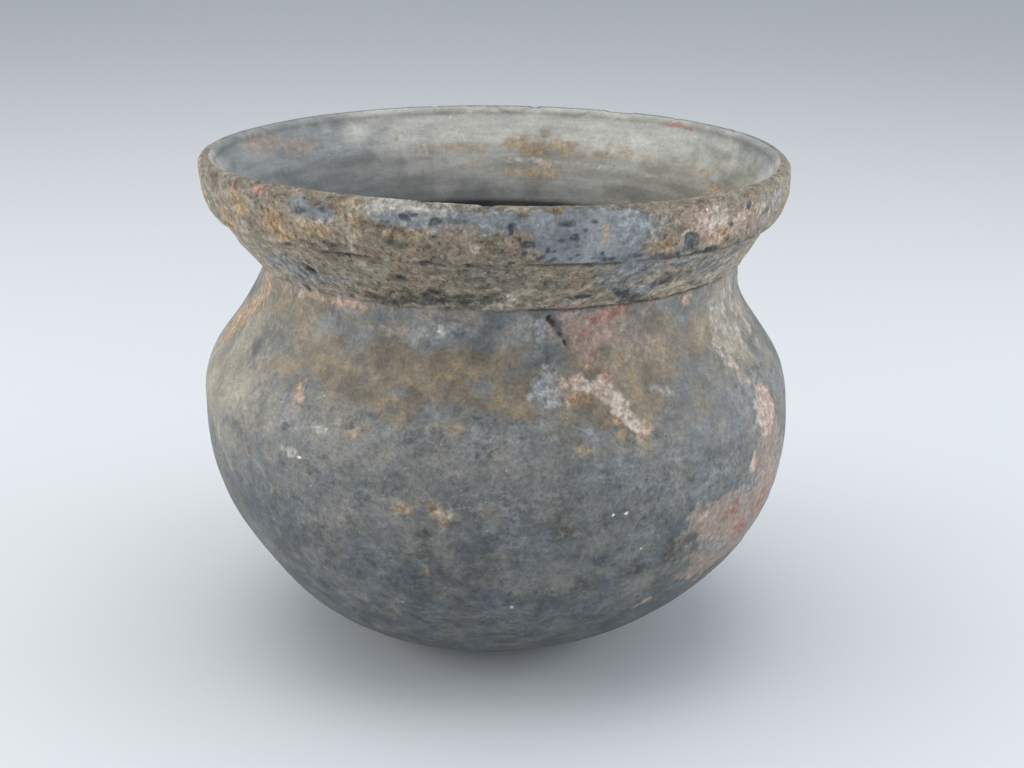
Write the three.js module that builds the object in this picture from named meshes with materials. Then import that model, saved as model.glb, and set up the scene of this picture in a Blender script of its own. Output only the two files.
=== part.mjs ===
// A hand-built earthenware urn: a round body, a short neck and a flaring collar that ends in a
// thickened rim. The potter formed it as four separate rings of clay and luted them one on the
// next with slip, so it is modelled as four solids that meet in slanting, overlapping joints.
// Units are millimetres and +Z is up. The origin is on the ground, under the widest part.

import * as THREE from "three";
import { mergeVertices, toCreasedNormals } from "three/addons/utils/BufferGeometryUtils.js";

const { lerp, smoothstep } = THREE.MathUtils;

// Radii of the outside, and how much wider each part of the mouth is than the one under it
const restRadius = 20;
const bodyRadius = 92;
const neckRadius = 74.8;
const collarFlare = 11.4;
const ledgeOverhang = 1.2;
const rimFlare = 2.6;

// How tall each stretch of the side is, from the ground up
const bellyHeight = 76;
const bellyBand = 6.5;
const shoulderRise = 37;
const neckBand = 4.5;
const collarRise = 15.8;
const rimRise = 15.7;

// How full the bowl is, where 2 is an ellipse, and how far the rim's side swells
const bowlFullness = 2.1;
const rimSwell = 0.65;

// Thickness of the clay
const wall = 5.5;
const bottomThickness = 8;
const lipThickness = 5;

// Joints between the rings: how far above the belly the first one starts, how far each climbs on
// its way in through the wall, and the film of slip that lies between the two faces
const bowlEdge = 12;
const jointClimb = 8;
const rimJointClimb = 6;
const slipFilm = 0.3;

// Unevenness left by the hand: how far the foot and the mouth stand to the side of the rings in
// the middle, how oval the rings are, and how the rim rises and falls around the mouth
const footShift = -2.6;
const mouthShift = -1.8;
const straightHeight = 56;
const leanBend = 1.3;
const ovalness = 0.5;
const rimWaves = [
  { lobes: 2, rise: 0.67, phase: 2.25 },
  { lobes: 3, rise: 0.26, phase: 0.52 },
];

// Fineness of the surfaces
const segments = 72;
const bowlRows = 13;
const edgeRows = 3;
const shoulderRows = 9;
const collarRows = 4;
const rimRows = 4;
const lipRows = 6;
const creaseAngle = 0.5;
const weldDistance = 0.001;

// Heights and radii that follow from the sizes above
const neckHeight = bellyHeight + bellyBand + shoulderRise + neckBand;
const ledgeHeight = neckHeight + collarRise;
const rimHeight = ledgeHeight + rimRise;
const lipHeight = rimHeight - lipThickness / 2;
const collarRadius = neckRadius + collarFlare;
const rimRadius = collarRadius + ledgeOverhang + rimFlare;
const bowlEdgeHeight = bellyHeight + bowlEdge;

// The slip is measured square to the slanting joint, so the ring above it is lifted by more
const slipLift = slipFilm * Math.hypot(1, jointClimb / wall);

// The bowl's outside would close in a point under the ground, and is cut flat where it rests
const restShare = (1 - (restRadius / bodyRadius) ** bowlFullness) ** (1 / bowlFullness);
const bowlPole = bellyHeight - bellyHeight / restShare;

function bowlRadius(height, widest, pole) {
  const depth = (bellyHeight - height) / (bellyHeight - pole);
  return widest * (1 - depth ** bowlFullness) ** (1 / bowlFullness);
}

function outerRadius(height) {
  if (height < bellyHeight) return bowlRadius(height, bodyRadius, bowlPole);
  if (height > neckHeight) {
    return lerp(neckRadius, collarRadius, (height - neckHeight) / collarRise);
  }
  const turn = bellyHeight + bellyBand;
  return lerp(bodyRadius, neckRadius, smoothstep(height, turn, turn + shoulderRise));
}

// The wall is measured square to the surface, so it is wider on the level where the side slopes.
// In the rim the inside leans out straight to the lip.
function innerRadius(height) {
  if (height < bellyHeight) return bowlRadius(height, bodyRadius - wall, bottomThickness);
  if (height > ledgeHeight) {
    const share = (height - ledgeHeight) / (lipHeight - ledgeHeight);
    return lerp(innerRadius(ledgeHeight), rimRadius - lipThickness, share);
  }
  const slope = outerRadius(height) - outerRadius(height - 1);
  return outerRadius(height) - wall * Math.hypot(1, slope);
}

// Points up or down one side of the wall, from one height to another
function side(radiusAt, from, to, rows) {
  const points = [];
  for (let row = 0; row <= rows; row += 1) {
    const height = lerp(from, to, row / rows);
    points.push(new THREE.Vector2(radiusAt(height), height));
  }
  return points;
}

// Points up the curve of the bowl from its bottom to the belly, closer together at the bottom
function bowlSide(radiusAt, bottom) {
  const points = [];
  for (let row = 0; row <= bowlRows; row += 1) {
    const climb = 1 - Math.cos((row / bowlRows) * (Math.PI / 2));
    const height = lerp(bottom, bellyHeight, climb);
    points.push(new THREE.Vector2(radiusAt(height), height));
  }
  return points;
}

function bowlOutline() {
  const innerEdge = bowlEdgeHeight + jointClimb;
  return [
    new THREE.Vector2(0, 0),
    ...bowlSide(outerRadius, 0),
    ...side(outerRadius, bellyHeight, bowlEdgeHeight, edgeRows).slice(1),
    ...side(innerRadius, innerEdge, bellyHeight, edgeRows),
    ...bowlSide(innerRadius, bottomThickness).reverse().slice(1),
  ];
}

// A ring of the wall between two joints, each of which climbs inwards
function ringOutline(bottom, bottomClimb, top, topClimb, rows) {
  const foot = bottom + slipLift;
  const points = [
    ...side(outerRadius, foot, top, rows),
    ...side(innerRadius, top + topClimb, foot + bottomClimb, rows),
  ];
  return [...points, points[0]];
}

// The rim's foot overhangs the collar in a small ledge, and its lip is half round
function rimOutline() {
  const foot = ledgeHeight + slipLift;
  const swelled = (height) => {
    const share = (height - foot) / (lipHeight - foot);
    const swell = 4 * rimSwell * share * (1 - share);
    return collarRadius + ledgeOverhang + rimFlare * share + swell;
  };
  const lip = new THREE.Path();
  lip.absarc(rimRadius - lipThickness / 2, lipHeight, lipThickness / 2, 0, Math.PI);
  const points = [
    ...side(swelled, foot, lipHeight, rimRows),
    ...lip.getPoints(lipRows).slice(1, -1),
    ...side(innerRadius, lipHeight, foot + rimJointClimb, rimRows),
    new THREE.Vector2(collarRadius, foot),
  ];
  return [...points, points[0]];
}

// Moves each point of a true ring to where the potter's hand left it
function makeUneven(geometry) {
  const place = geometry.attributes.position;
  const point = new THREE.Vector3();
  for (let index = 0; index < place.count; index += 1) {
    point.fromBufferAttribute(place, index);
    const angle = Math.atan2(point.y, point.x);
    const radius = Math.hypot(point.x, point.y);
    const oval = 1 + (ovalness / bodyRadius) * Math.sin(2 * angle);
    const low = Math.max(0, 1 - point.z / straightHeight) ** leanBend;
    const high = Math.max(0, (point.z - straightHeight) / (rimHeight - straightHeight)) ** leanBend;
    let wave = 0;
    for (const { lobes, rise, phase } of rimWaves) {
      wave += rise * Math.cos(lobes * angle - phase);
    }
    point.x = radius * oval * Math.cos(angle) + footShift * low + mouthShift * high;
    point.y = radius * oval * Math.sin(angle);
    point.z += wave * smoothstep(point.z, neckHeight, ledgeHeight);
    place.setXYZ(index, point.x, point.y, point.z);
  }
}

function clayRing(name, outline, color, roughness) {
  const turned = new THREE.LatheGeometry(outline, segments).rotateX(Math.PI / 2);
  turned.deleteAttribute("normal");
  turned.deleteAttribute("uv");
  makeUneven(turned);
  const geometry = toCreasedNormals(mergeVertices(turned, weldDistance), creaseAngle);
  const material = new THREE.MeshStandardMaterial({ color, roughness, metalness: 0 });
  const mesh = new THREE.Mesh(geometry, material);
  mesh.name = name;
  return mesh;
}

const shoulderOutline = ringOutline(bowlEdgeHeight, jointClimb, neckHeight, jointClimb, shoulderRows);
const collarOutline = ringOutline(neckHeight, jointClimb, ledgeHeight, rimJointClimb, collarRows);

const urn = new THREE.Group();
urn.name = "earthenware_urn";
urn.add(
  clayRing("base_bowl", bowlOutline(), 0x55585c, 0.55),
  clayRing("shoulder_ring", shoulderOutline, 0x66655f, 0.6),
  clayRing("neck_collar", collarOutline, 0x6d6659, 0.85),
  clayRing("rim_band", rimOutline(), 0x7b6d60, 0.85),
);

export default urn;
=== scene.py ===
"""The earthenware urn: four luted rings of clay, with the skin that fire and soil gave them."""

import math
from typing import NamedTuple

import bpy
import numpy as np
from mathutils import Matrix, Vector, noise


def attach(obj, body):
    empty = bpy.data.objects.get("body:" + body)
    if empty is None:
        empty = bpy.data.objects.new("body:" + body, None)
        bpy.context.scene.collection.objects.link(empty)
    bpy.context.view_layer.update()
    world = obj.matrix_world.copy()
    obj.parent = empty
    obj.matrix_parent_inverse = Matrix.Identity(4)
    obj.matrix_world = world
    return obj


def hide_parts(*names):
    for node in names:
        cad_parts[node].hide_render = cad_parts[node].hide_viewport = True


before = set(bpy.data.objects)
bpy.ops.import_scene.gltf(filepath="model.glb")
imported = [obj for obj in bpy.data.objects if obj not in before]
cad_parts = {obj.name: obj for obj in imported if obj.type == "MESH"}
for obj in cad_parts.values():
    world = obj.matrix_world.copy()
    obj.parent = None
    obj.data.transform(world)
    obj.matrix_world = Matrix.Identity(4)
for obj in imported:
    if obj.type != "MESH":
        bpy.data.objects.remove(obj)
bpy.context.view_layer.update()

MM = 0.001

# Radii of the outside, as in the solids, and how far the rim overhangs the collar. Lengths are in
# millimetres, unless a comment says otherwise.
REST_RADIUS = 20
BODY_RADIUS = 92
NECK_RADIUS = 74.8
COLLAR_RADIUS = 86.2
LEDGE_OVERHANG = 1.2
RIM_RADIUS = 90

# Heights of the belly, the turn into the shoulder, the neck, the ledge and the rim
BELLY = 76
TURN = 82.5
SHOULDER_END = 119.5
NECK = 124
LEDGE = 139.8
RIM = 155.5

# The clay's thickness, the fullness of the bowl and the swell of the rim
WALL = 5.5
BOTTOM = 8
LIP = 5
FULLNESS = 2.1
SWELL = 0.65
LIP_START = RIM - LIP / 2

# Joints: where the first one starts outside and how far each climbs on its way in
BOWL_JOINT = 88
CLIMB = 8
RIM_CLIMB = 6

# The slip that is squeezed out of the joints leaves only a hairline between two rings
HAIRLINE = 0.02

# Where the crease of the neck shows on the skin
CREASE = NECK + 0.4

# How the hand left the rings: the shifts of foot and mouth away from the height at which the pot
# stands straight, how these bend, the oval, and the waves of the rim as lobes, rise and phase
FOOT_SHIFT = -2.6
MOUTH_SHIFT = -1.8
STRAIGHT = 56
LEAN_BEND = 1.3
OVALNESS = 0.5
RIM_WAVES = ((2, 0.67, 2.25), (3, 0.26, 0.52))

# Where the hand pressed the skin in or drew it out: the bearing in degrees to the right of the
# front, the height, how far it reaches along the ring and upwards, and how far it moves the skin
HAND_MARKS = (
    (-64, 34, 26, 17, -1.8),
    (-80, 121, 20, 7, -2.5),
    (-88, 94, 20, 7, 0.7),
    (74, 137, 20, 5, -0.9),
    (-72, 137, 20, 5, -0.4),
    (84, 85, 18, 7, -0.7),
    (76, 121, 16, 6, 0.4),
    (92, 154, 24, 5, -0.5),
    (70, 50, 24, 19, 0.9),
)

# How far apart the rows of the mesh are
REST_STEP = 1.5
BOWL_STEP = 1.28
BOWL_INSIDE_STEP = 5.6
SHOULDER_STEP = 0.66
COLLAR_STEP = 0.5
RIM_STEP = 0.5
RIM_INSIDE_STEP = 0.6
LIP_STEP = 0.42
LEDGE_STEP = 0.3
JOINT_STEP = 2.4
RIM_JOINT_STEP = 1.6
UNDERSIDE_STEP = 0.4

# How much coarser the inside of a ring is, and how far the rest's rows keep off its corner
INSIDE_COARSENESS = 1.5
CORNER_MARGIN = 0.5

# The points that a curve has before it is spaced out: how many, or their angles
SIDE_POINTS = 400
LIP_TURNS = np.linspace(0, math.pi, 60)
LEDGE_TURNS = np.linspace(-math.pi / 2, 0, 12)

# How round the lower edge of the rim is, and how far in its underside meets the joint
LEDGE_ROUNDING = 0.7
LEDGE_INSET = 0.4

# How much of the lip's half round the outer skin takes
SKIN_OVER_LIP = 5 / 8

# Where the crust fills the corner under the ledge, up to just over the rounded edge
FILL_FOOT = 136.5
FILL_TOP = LEDGE + 0.74

# Bearings between which the fill, the joint line and painted shadow under the ledge and the back
# start or end
FILL_STARTS, FILL_ENDS = (-80, -60), (-4, 6)
LEDGE_SHADOW_STARTS, LEDGE_SHADOW_ENDS = (0, 12), (60, 90)
BACK_STARTS = (80, 110)

# Heights between which the chips, the bare lip of the back and the step on the inside start
CHIPS_START = (RIM - 3.4, RIM - 1)
BARE_LIP_STARTS = (RIM - 2, RIM - 0.8)
STEP_STARTS = (140, 143)

# How far the skin's relief stands proud, or lies deep where something has come off
HILL_RISE = 0.25
BUMP_RISE = 0.05
WIPE_RISE = 0.04
CRUST_BUMP_RISE = 0.16
CRUST_GRAIN_RISE = 0.11
FLAKE_BUMP_RISE = 0.12
FLAKE_GRAIN_RISE = 0.05
CHALK_RISE = 0.08
BARE_DEPTH = 0.25
FLAKE_DEPTH = 0.3
PINK_DEPTH = 0.2
CRACK_DEPTH = 1.2
SEAM_DEPTH = 0.3
CHIP_DEPTH = 0.4
STEP_DEPTH = 0.12

# Which way a row of the mesh faces
OUTSIDE, JOINT, INSIDE = 1, 0, -1


# The outline of the wall


def smoothstep(value, start, end):
    """0 up to the start, 1 from the end on, and a soft rise between them."""
    share = np.clip((value - start) / (end - start), 0, 1)
    return share * share * (3 - 2 * share)


def bowl_radius(height, widest, pole):
    depth = np.clip((BELLY - height) / (BELLY - pole), 0, 1)
    return widest * (1 - depth**FULLNESS) ** (1 / FULLNESS)


def outer_radius(height):
    """Radius of the outside up to the ledge."""
    rest_share = (1 - (REST_RADIUS / BODY_RADIUS) ** FULLNESS) ** (1 / FULLNESS)
    bowl = bowl_radius(height, BODY_RADIUS, BELLY - BELLY / rest_share)
    turned = smoothstep(height, TURN, SHOULDER_END)
    shoulder = BODY_RADIUS + (NECK_RADIUS - BODY_RADIUS) * turned
    flare = (height - NECK) / (LEDGE - NECK)
    collar = NECK_RADIUS + (COLLAR_RADIUS - NECK_RADIUS) * flare
    return np.where(height < BELLY, bowl, np.where(height < NECK, shoulder, collar))


def rim_radius(height):
    """Radius of the rim's own outside, which swells a little between the ledge and the lip."""
    share = (height - LEDGE) / (LIP_START - LEDGE)
    straight = COLLAR_RADIUS + LEDGE_OVERHANG
    straight = straight + (RIM_RADIUS - straight) * share
    return straight + 4 * SWELL * share * (1 - share)


def side_radius(height):
    """Radius of the inside between the belly and the ledge, a wall's thickness from the outside."""
    slope = outer_radius(height) - outer_radius(height - 1)
    return outer_radius(height) - WALL * np.hypot(1, slope)


def inner_radius(height):
    bowl = bowl_radius(height, BODY_RADIUS - WALL, BOTTOM)
    share = (height - LEDGE) / (LIP_START - LEDGE)
    rim = side_radius(LEDGE) + (RIM_RADIUS - LIP - side_radius(LEDGE)) * share
    side = side_radius(height)
    return np.where(height < BELLY, bowl, np.where(height > LEDGE, rim, side))


def line(radius_at, start, end, step):
    """Points a step apart along one side of the wall, from one height to another."""
    turned = 1 - np.cos(np.linspace(0, math.pi, SIDE_POINTS))
    heights = start + (end - start) * turned / 2
    return spaced(np.column_stack([radius_at(heights), heights]), step)


def spaced(points, step):
    """The same line with its points a step apart."""
    along = np.concatenate([[0], np.cumsum(np.hypot(*np.diff(points, axis=0).T))])
    places = np.linspace(0, along[-1], max(2, round(along[-1] / step) + 1))
    return np.column_stack([np.interp(places, along, points[:, axis]) for axis in (0, 1)])


def joined(*runs):
    """One outline from runs of points, with the side that each of its points is on."""
    points = np.vstack([run for run, _ in runs])
    sides = np.concatenate([np.full(len(run), side) for run, side in runs])
    return points, sides


def across(start, end, step):
    """The points strictly between two corners of a joint."""
    return spaced(np.array([start, end], float), step)[1:-1]


def bowl_outline():
    radii = np.arange(REST_STEP, REST_RADIUS - CORNER_MARGIN, REST_STEP)
    rest = np.column_stack([radii, np.zeros(len(radii))])
    outside = line(outer_radius, 0, BOWL_JOINT, BOWL_STEP)
    inside = line(inner_radius, BOWL_JOINT + CLIMB, BOTTOM, BOWL_INSIDE_STEP)[:-1]
    edge = across(outside[-1], inside[0], JOINT_STEP)
    return joined((rest, JOINT), (outside, OUTSIDE), (edge, JOINT), (inside, INSIDE))


def ring_outline(bottom, bottom_climb, top, top_climb, step):
    foot = bottom + HAIRLINE
    outside = line(outer_radius, foot, top, step)
    inside = line(inner_radius, top + top_climb, foot + bottom_climb, step * INSIDE_COARSENESS)
    upper = across(outside[-1], inside[0], JOINT_STEP)
    lower = across(inside[-1], outside[0], JOINT_STEP)
    return joined((outside, OUTSIDE), (upper, JOINT), (inside, INSIDE), (lower, JOINT))


def arc(middle, radius, turns, step):
    """Points a step apart on an arc through some angles up from the level."""
    return spaced(middle + radius * np.column_stack([np.cos(turns), np.sin(turns)]), step)


def rim_outline():
    """The rim's outline, on which the outer skin goes over the top of the lip."""
    foot = LEDGE + HAIRLINE
    side = line(rim_radius, foot + LEDGE_ROUNDING, LIP_START, RIM_STEP)
    edge = arc(side[0] - (LEDGE_ROUNDING, 0), LEDGE_ROUNDING, LEDGE_TURNS, LEDGE_STEP)
    lip = arc((RIM_RADIUS - LIP / 2, LIP_START), LIP / 2, LIP_TURNS, LIP_STEP)
    over = int(len(lip) * SKIN_OVER_LIP)
    outside = np.vstack([edge[:-1], side[:-1], lip[:over]])
    wiped = line(inner_radius, LIP_START, foot + RIM_CLIMB, RIM_INSIDE_STEP)
    inside = np.vstack([lip[over:], wiped[1:]])
    corner = np.array([COLLAR_RADIUS - LEDGE_INSET, foot])
    joint = across(inside[-1], corner, RIM_JOINT_STEP)
    underside = across(corner, outside[0], UNDERSIDE_STEP)
    return joined((outside, OUTSIDE), (inside, INSIDE), (joint, JOINT), (underside, JOINT))


# Marks on the skin, placed by bearing and height


class Patch(NamedTuple):
    """An uneven spot: the bearing of its middle in degrees to the right of the front, its height
    above the ground, its width and its tallness, and by how many degrees its right end tips up."""

    bearing: float
    height: float
    wide: float
    tall: float
    tilt: float = 0


class Mark(NamedTuple):
    """Patches of one kind, how soft their edges are and how far these stray."""

    patches: tuple
    soft: float
    ragged: float


def mark(*rows, soft, ragged):
    """A mark from the values of its patches, one row for each."""
    return Mark(tuple(Patch(*row) for row in rows), soft, ragged)


OUTER_MARKS = {
    # Smooth grey wall where the crust has come off the rim and the collar
    "bare": mark(
        (-31.5, 150.6, 13, 4.4), (-13, 151.8, 27, 6), (-1, 152, 26, 5), (9, 151.5, 18, 6),
        (17.5, 147, 34, 16, 2), (25, 149, 13, 9), (28, 140, 14, 5, 10), (36.5, 143, 4.4, 6),
        (58, 144.5, 7, 3.4), (92, 149, 24, 7), (118, 133, 15, 8), (150, 147, 34, 10),
        (-152, 150, 26, 8), (-112, 145, 19, 9), (-96, 131, 12, 6), (-172, 132, 17, 7),
        soft=0.9, ragged=1.1,
    ),
    # Grey wall that shows faintly through the crust
    "worn": mark(
        (-42, 129.8, 24, 8, -6), (25.5, 135, 15, 10), (30, 129.5, 14, 5, 12),
        (52, 135.5, 24, 5, 8), (40, 137, 14, 3), (-8, 149.6, 34, 3), (9.6, 119, 3, 6),
        (9.4, 105, 6, 9), (13, 106, 2.4, 9), (57, 66, 12, 5, 30), (50, 48, 12, 4, -20),
        (68, 52, 9, 12), (71, 72, 8, 12),
        soft=2.4, ragged=3,
    ),
    # Red clay that the fire laid bare
    "red": mark(
        (26, 122.4, 12, 2.6, 10), (19, 118, 4, 3, -30), (45.5, 122.8, 5, 2.2, 20),
        (21.5, 112, 3, 5, -20), (22.5, 106.4, 1.6, 4, -40), (-44, 153.4, 3, 1.4),
        (-52, 153.2, 2.6, 1.4), (-73, 135.5, 4, 3), (50, 60, 7, 4, 35), (56, 52, 8, 5, -30),
        (63, 58, 7, 9), (63.5, 81, 5, 4),
        soft=0.9, ragged=1.2,
    ),
    # Flakes sprung from the wall, down to coarse reddish clay
    "spall": mark(
        (20.5, 120.6, 24, 8.4), (21.5, 114.5, 14, 9), (22.5, 109, 7, 6, -40), (50, 60, 40, 16),
        (66, 58, 40, 36), (52, 49, 30, 18), (47, 41.5, 20, 9, -20), (61, 73, 14, 14),
        (66, 74, 16, 16), (108, 70, 30, 12, 25), (121, 78, 14, 7, -10), (-133, 101, 24, 7, -25),
        (-127, 97, 10, 9), (171, 50, 26, 8, 20), (177, 46, 10, 9, -30), (-163, 86, 12, 3.4, 30),
        (-104, 58, 14, 5, -35),
        soft=1.6, ragged=2.6,
    ),
    # Deep cracks and pits
    "crack": mark(
        (12.4, 121, 1.7, 5, 32), (13.8, 117.8, 1.3, 3.4, 32), (15, 115.4, 0.9, 1.8, 30),
        (-39, 132.3, 3.2, 1.5, -20), (-44, 124.4, 1.6, 1), (-38, 139.2, 7, 0.6),
        (-26, 139, 9, 0.7), (-10.5, 138.8, 4, 0.7), (-4, 139, 3, 0.6), (108, 123.8, 12, 0.8),
        (-140, 139, 9, 0.7), (160, 139, 12, 0.7),
        soft=0.4, ragged=1.1,
    ),
    # Chalky bits and scuffs, and a painted highlight along the top of the rim at the front
    "pale": mark(
        (19.6, 104.8, 6, 4), (23.2, 100.5, 6, 5, -35), (25.4, 95.6, 5, 4, -30), (57, 116, 2.4, 7),
        (60, 110, 2.4, 6), (63, 115, 3, 8, -8), (66, 108, 2.4, 7), (55, 106, 2.4, 5),
        (69, 116, 4, 8), (74, 108, 6, 12), (18, 127.6, 4.5, 2.2), (4, 129, 3, 1.6),
        (2, 126.4, 5, 1), (-37.4, 82.4, 4, 1.6), (-32, 90.6, 3, 1), (-11, 118, 2.2, 2),
        (-7.6, 71.6, 3, 1.4, -40), (-46, 122, 4, 3), (57.6, 90, 2, 8, -8), (-24.5, 148, 2, 7),
        (42.5, 149.8, 8, 5), (49.5, 146.6, 6, 3.4, 20), (35.6, 146.6, 4, 4), (57, 149, 7, 3),
        (-15.5, 153.6, 20, 2.8), (-31, 147.6, 7, 0.7), (-3, 144.5, 2, 2), (128, 112, 4, 12, 15),
        (132, 109, 3, 8), (-118, 108, 12, 3, 35), (-150, 66, 6, 2.4),
        soft=1.6, ragged=1.4,
    ),
    # Bluish white bloom, and painted highlights along the top of the rim at the front and painted
    # sheen on the right of the rim
    "bloom_and_highlight": mark(
        (27, 149.2, 14, 8), (-15, 154, 22, 2), (-18, 152.2, 9, 3.4), (-2, 153.6, 14, 1.4),
        (-12, 151.8, 20, 3), (-5, 149.6, 10, 2), (10.5, 107, 4, 5), (11.5, 102.5, 3, 5),
        (8.6, 104, 3, 3), (-12, 117.4, 9, 3.4), (10, 118.6, 4, 6), (63, 150, 12, 5),
        (32, 131, 7, 2, 10), (34, 101, 5, 2, -30), (170, 96, 16, 5, 20), (-140, 118, 14, 4),
        soft=2.2, ragged=2.4,
    ),
    # Loose pale grits, and painted glints on the top of the rim at the front
    "grit": mark(
        (21, 70, 1.4, 1.4), (23.4, 70, 1.4, 1.4), (4, 40.5, 1.5, 1.5), (27.5, 58, 1.4, 1.4),
        (-35.6, 81.6, 1.8, 1.4), (-11.2, 118.2, 1.3, 1.1), (3, 129.6, 0.9, 0.8),
        (4.2, 128.6, 0.8, 0.7), (-30.5, 91, 1.2, 0.7), (5.2, 152, 0.7, 0.6), (6.6, 152, 0.8, 0.7),
        (-9, 91.2, 0.8, 0.6), (40, 152.4, 1.1, 1), (-16, 153.6, 1.6, 0.7), (-12, 154, 1.2, 0.6),
        soft=0.8, ragged=0.1,
    ),
    # Rusty and golden flecks where something lay against the pot
    "ochre": mark(
        (-9, 72, 9, 3, -30), (-6.6, 69.4, 4, 3.4, -50), (-15.5, 72.5, 3, 2), (-2, 73, 2.4, 2),
        (-1, 67.5, 2, 3), (-12, 53, 2.6, 3.6), (-8.5, 95.5, 8, 2), (15, 89, 3, 1.6),
        (-25, 91.5, 3, 2.6), (-28.5, 93.6, 2, 2), (-23.5, 151, 8, 8), (-32, 146, 8, 3.6),
        (-41, 145, 10, 8), (-51, 148, 8, 8), (-58, 143, 8, 6), (-15, 147.4, 8, 2.4),
        (30.5, 143, 8, 5), (-50, 77, 3, 2.4), (-39.6, 100, 2.4, 3), (-64.5, 121.5, 12, 8),
        (-68, 115, 11, 10), (-74, 108, 11, 11), (-80, 102, 11, 11), (19.4, 148.6, 0.9, 3.4),
        (17, 102, 9, 3), (23, 95, 4, 3), (140, 92, 9, 2.4, -20), (-125, 78, 8, 2.4, 20),
        soft=1.4, ragged=1.8,
    ),
    # Orange tan where the flames licked the pot
    "tan": mark(
        (-64, 121.6, 8, 7, -30), (-67.5, 115, 6, 8, -40), (-71.5, 109.5, 7, 8, -40),
        (-78, 105.5, 8, 7, -50), (-36, 122.8, 12, 1.6), (-46, 122.6, 8, 2.4), (-78, 151, 18, 7),
        (-68, 144.5, 8, 4), (15.4, 105.4, 6, 3.4), (27.4, 92.8, 4, 3), (20.6, 106.6, 4, 2.4, -30),
        (-38.6, 96.8, 2, 6, 10), (46, 144.6, 8, 3, 10), (-158, 104, 12, 5, 30), (124, 120, 8, 4),
        soft=1.6, ragged=1.8,
    ),
    # Rosy clay
    "rosy": mark(
        (38, 149, 20, 9), (55, 146, 20, 6), (22, 119, 26, 12), (17.5, 105, 13, 5),
        (22.5, 101, 8, 7, -35), (-39.4, 96.6, 3, 8, 10), (-38, 122.4, 30, 2), (-44, 153.4, 4, 2),
        (-52, 153.4, 3.6, 2), (-62, 137, 9, 4), (33, 112, 8, 4), (-22, 117.5, 8, 2.6),
        (-12, 122.6, 10, 1.6), (-100, 150, 26, 8), (130, 151, 22, 7), (52, 55, 16, 12, 30),
        (62, 64, 14, 16), (63, 83, 8, 7),
        soft=2, ragged=3,
    ),
    # Light pink clay where the skin has worn through
    "pink": mark(
        (62, 86.6, 12, 15.5, -6), (56, 74, 3, 6, -10), (57, 101, 2, 7, -8),
        (47.5, 122.4, 5, 2.6, 30), (18, 127.4, 4.5, 2.2), (16.4, 105, 6, 4), (21, 103, 7, 5, -30),
        (24, 98, 5, 5, -40), (26.6, 93.8, 4, 3), (41.6, 63, 4, 3.6), (34.5, 33.5, 5, 2.4, 20),
        (41, 148.6, 15, 7), (51, 149, 9, 4, 20),
        soft=1.4, ragged=0.6,
    ),
    # Soot and damp stains
    "soot": mark(
        (-11, 128, 27, 4.4), (-25, 126.6, 10, 2.4), (-39, 132.3, 4.4, 2.4), (-17, 133.4, 4, 1),
        (18, 128.4, 6, 1.8), (26.4, 128.6, 5, 3.4), (31, 125, 7, 2.2), (37, 132, 8, 4),
        (37, 143, 4.4, 5.4), (-12, 60, 5, 5), (-12, 66, 3.6, 3), (12, 66, 5, 3.4),
        (34.5, 54, 6, 9), (28, 50, 5, 4), (100, 127, 20, 5), (-128, 128, 26, 5),
        soft=1.3, ragged=1.4,
    ),
    # Dark blue spots, most of them in the window and along its foot
    "spot": mark(
        (6.3, 145.8, 2.8, 2.2), (3.4, 149.4, 1.6, 2.6), (4.6, 147.4, 1.4, 1.6),
        (11.4, 146.8, 2.4, 1.2), (13.8, 147.4, 1.6, 1.2), (14.6, 144.8, 2, 1.2),
        (9.4, 144.2, 1.6, 1.4), (5.4, 143, 1.4, 1.6), (12.4, 151, 3, 0.8), (8.4, 141.8, 1.8, 1.6),
        (11, 141.6, 2, 1.4), (13.6, 141.4, 2, 1.2), (17, 141.4, 4, 1.2), (21.6, 141.2, 4, 1.2),
        (26, 141.6, 4, 1.1), (34, 140.6, 8, 1.6), (43, 140.2, 10, 1.3), (54, 140.2, 10, 1.1),
        (36.6, 144.6, 3.4, 4), (19, 128.6, 5, 1.2), (26.5, 128.4, 4, 2.6),
        (-17.5, 133.6, 1.6, 0.8), (7.4, 142.8, 1.6, 1.2), (9.6, 140.7, 1.8, 1), (12, 140.5, 2, 1),
        (14.8, 142.6, 1.4, 1), (16, 140.5, 2.4, 0.9), (19, 142.8, 1.2, 0.9),
        (10.6, 143.6, 1.2, 0.9), (8.6, 147.6, 1, 0.8), (17.4, 151.6, 1.4, 0.7),
        (15.8, 149.4, 1, 0.7), (-14.4, 151.6, 5, 1.5), (-8.6, 150.8, 3, 1.3),
        (-17.4, 150, 3, 1.1), (-4.4, 151.2, 4, 1.1), (-29.4, 151.4, 3, 1.3),
        (-33.6, 150.2, 3, 1.1), (-38, 99.6, 1, 1.2), (-39.6, 88.6, 1.6, 2),
        (-12.6, 152.4, 4, 1.4), (52, 151, 2.4, 2), (-142, 146, 3, 2), (151, 143, 8, 1.4),
        soft=0.7, ragged=0.9,
    ),
}

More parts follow.
